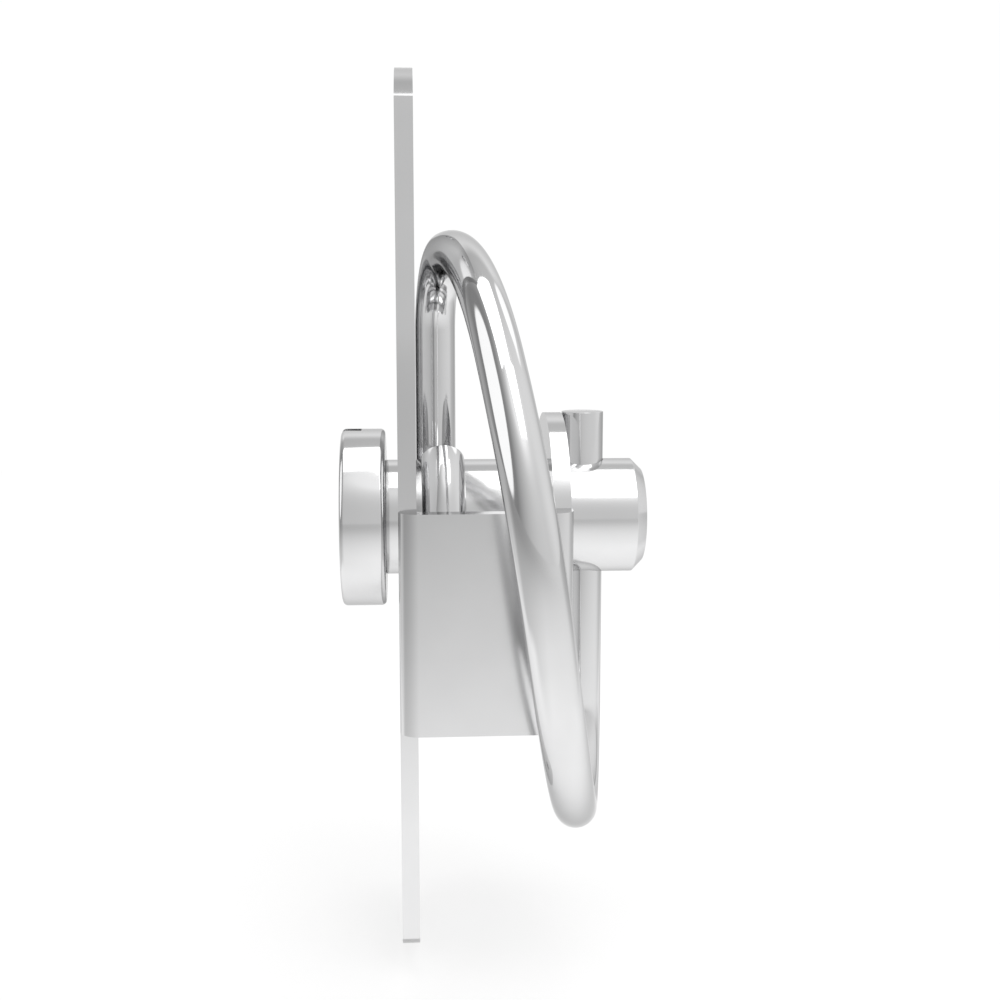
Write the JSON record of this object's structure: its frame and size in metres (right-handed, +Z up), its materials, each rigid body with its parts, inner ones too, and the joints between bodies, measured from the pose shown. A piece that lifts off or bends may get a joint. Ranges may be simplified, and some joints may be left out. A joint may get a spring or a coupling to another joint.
{
  "type": "compression latch",
  "caption": "Polished steel panel latch: a folded sheet housing carries a round spindle turned by a bent rod ring handle, with a slotted clamp screw behind the plate.",
  "frame": {"origin": "on the spindle axis at the back face of the back plate, which is also the centre of the screw hole pattern", "axes": "+X along the spindle towards its nose, out of the panel; +Z up the back plate; +Y away from the bow of the handle"},
  "size_m": [0.0576, 0.083, 0.1666],
  "materials": {
    "polished_sheet": "mirror polished sheet steel",
    "weld_bead": "dressed weld bead",
    "turned_steel": "turned and polished steel bar",
    "polished_rod": "mirror polished round rod"
  },
  "bodies": {
    "housing": {"housing": "polished_sheet", "closing_weld": "weld_bead"},
    "spindle": {"spindle": "turned_steel", "handle": "polished_rod"},
    "clamp_screw": {"clamp_screw": "turned_steel"}
  },
  "joints": [
    {"name": "handle_turn", "type": "hinge", "parent": "housing", "child": "spindle", "pos_m": [0, 0, 0], "axis": [1, 0, 0], "range_deg": [-18, 105]},
    {"name": "clamp_travel", "type": "slide", "parent": "spindle", "child": "clamp_screw", "axis": [-1, 0, 0], "range_m": [0, 0.006]}
  ]
}
